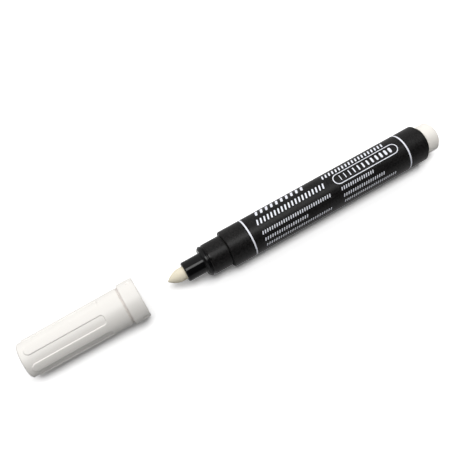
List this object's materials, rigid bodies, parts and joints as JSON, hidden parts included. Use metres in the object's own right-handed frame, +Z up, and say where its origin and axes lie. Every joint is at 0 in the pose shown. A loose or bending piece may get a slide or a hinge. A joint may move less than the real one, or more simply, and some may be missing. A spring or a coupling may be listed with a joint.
{
  "type": "permanent marker",
  "caption": "Capillary felt-tip marker lying open: black barrel, bullet nib in a glossy holder, white end plug, and a fluted white cap with a sealing liner that slides on over the nib.",
  "frame": {"origin": "on the surface the marker lies on, under the middle of its box", "axes": "+X along the marker from the nib towards the rear plug, +Z up"},
  "size_m": [0.1748, 0.0158, 0.0157],
  "materials": {
    "barrel_black": "moulded polypropylene, fine matte",
    "holder_black": "moulded polypropylene, glossy",
    "nib_felt": "bonded fibre, dry, cream white",
    "reservoir_fibre": "lengthwise polyester fibre",
    "clear_film": "thin clear film",
    "natural_tube": "extruded, natural colour",
    "plug_white": "moulded, satin white",
    "cap_white": "moulded, satin white",
    "liner_natural": "moulded polyethylene, soft natural white",
    "print_white": "white printing ink on the barrel"
  },
  "bodies": {
    "marker": {"barrel": "barrel_black", "nib_holder": "holder_black", "nib": "nib_felt", "reservoir": "reservoir_fibre", "reservoir_film": "clear_film", "breather_tube": "natural_tube", "end_plug": "plug_white"},
    "cap": {"cap": "cap_white", "cap_liner": "liner_natural"}
  },
  "joints": [
    {"name": "cap_slide", "type": "slide", "parent": "marker", "child": "cap", "axis": [0.9999, 0, -0.0159], "range_m": [0, 0.03498]}
  ]
}
